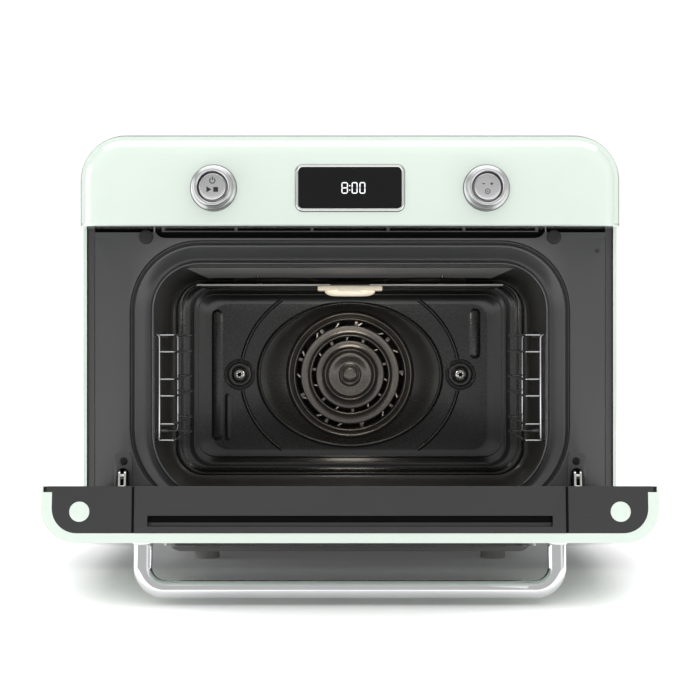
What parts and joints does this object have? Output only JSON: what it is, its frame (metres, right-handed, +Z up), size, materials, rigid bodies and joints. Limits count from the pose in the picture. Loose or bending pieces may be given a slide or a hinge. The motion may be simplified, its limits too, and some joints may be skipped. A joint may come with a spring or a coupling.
{
  "type": "toaster oven",
  "caption": "Countertop convection oven with a drop-down door, chrome tube handle, ring knobs with push buttons, display, side racks and rear fan.",
  "frame": {"origin": "bottom centre of the part's bounding box as stored, with the door open, on the surface the feet stand on", "axes": "+Z up from the feet; +Y towards the oven's back, so the door opens towards -Y; +X to the right as seen from the front"},
  "size_m": [0.4898, 0.6298, 0.395],
  "materials": {
    "mint_enamel": "glossy pastel green enamel",
    "dark_frame": "satin dark grey enamel",
    "cavity_enamel": "satin black-grey vitreous enamel",
    "chrome": "bright chrome",
    "satin_steel": "satin steel",
    "heater_tube": "oxidised metal sheath",
    "galvanised_sheet": "galvanised sheet",
    "motor_metal": "plated metal and laminations",
    "seal_rubber": "matt black silicone rubber",
    "mineral_wool": "loose mineral wool",
    "black_plastic": "matt black plastic",
    "display_black": "gloss black window",
    "circuit_board": "green circuit board",
    "lamp_glass": "frosted glass",
    "door_glass": "grey tinted tempered glass"
  },
  "bodies": {
    "oven": {"casing_wrap": "mint_enamel", "control_fascia": "mint_enamel", "front_frame": "dark_frame", "frame_screws": "satin_steel", "oven_seal": "seal_rubber", "door_bumpers": "seal_rubber", "cavity_liner": "cavity_enamel", "rear_baffle": "cavity_enamel", "baffle_screws": "satin_steel", "ring_heater": "heater_tube", "grill_heater": "heater_tube", "ceiling_plate": "satin_steel", "bottom_heater": "heater_tube", "lamp_housing": "satin_steel", "lamp_glass": "lamp_glass", "lamp_bulb": "lamp_glass", "rack_left": "chrome", "rack_right": "chrome", "rack_studs": "satin_steel", "insulation": "mineral_wool", "fan_motor": "motor_metal", "motor_bracket": "galvanised_sheet", "top_shelf": "galvanised_sheet", "air_duct": "galvanised_sheet", "blower_housing": "galvanised_sheet", "blower_motor": "motor_metal", "power_board": "circuit_board", "thermostat": "motor_metal", "temperature_probe": "satin_steel", "door_switch": "black_plastic", "control_board": "circuit_board", "display_module": "black_plastic", "display_glass": "display_black", "display_bezel": "chrome", "encoders": "motor_metal", "rear_cover": "galvanised_sheet", "rear_cover_screws": "satin_steel", "cord_inlet": "black_plastic", "base_pan": "galvanised_sheet", "base_plinth": "galvanised_sheet", "feet": "seal_rubber", "hinge_housings": "galvanised_sheet", "hinge_pins": "satin_steel"},
    "door": {"door_shell": "mint_enamel", "door_inner_frame": "dark_frame", "inner_glass": "door_glass", "outer_glass": "door_glass", "door_plugs": "mint_enamel", "handle_bar": "chrome", "handle_elbows": "chrome", "handle_screws": "satin_steel", "hinge_arms": "chrome"},
    "knob_left": {"knob_ring_left": "satin_steel"},
    "knob_right": {"knob_ring_right": "satin_steel"},
    "button_left": {"push_button_left": "satin_steel"},
    "button_right": {"push_button_right": "satin_steel"},
    "convection_fan": {"fan_wheel": "satin_steel", "fan_nut": "satin_steel"},
    "cooling_blower": {"blower_wheel": "galvanised_sheet"}
  },
  "joints": [
    {"name": "door_hinge", "type": "hinge", "parent": "oven", "child": "door", "pos_m": [0, -0.06213, 0.0595], "axis": [-1, 0, 0], "range_deg": [0, 83]},
    {"name": "knob_left_turn", "type": "hinge", "parent": "oven", "child": "knob_left", "pos_m": [-0.122, -0.10013, 0.3458], "axis": [0, 1, 0], "continuous": true},
    {"name": "knob_right_turn", "type": "hinge", "parent": "oven", "child": "knob_right", "pos_m": [0.122, -0.10013, 0.3458], "axis": [0, 1, 0], "continuous": true},
    {"name": "button_left_press", "type": "slide", "parent": "oven", "child": "button_left", "axis": [0, 1, 0], "range_m": [0, 0.0015], "stiffness_N_per_m": 800},
    {"name": "button_right_press", "type": "slide", "parent": "oven", "child": "button_right", "axis": [0, 1, 0], "range_m": [0, 0.0015], "stiffness_N_per_m": 800},
    {"name": "fan_spin", "type": "hinge", "parent": "oven", "child": "convection_fan", "pos_m": [0, 0.25987, 0.1727], "axis": [0, 1, 0], "continuous": true},
    {"name": "blower_spin", "type": "hinge", "parent": "oven", "child": "cooling_blower", "pos_m": [0, 0.08187, 0.345], "axis": [1, 0, 0], "continuous": true}
  ]
}
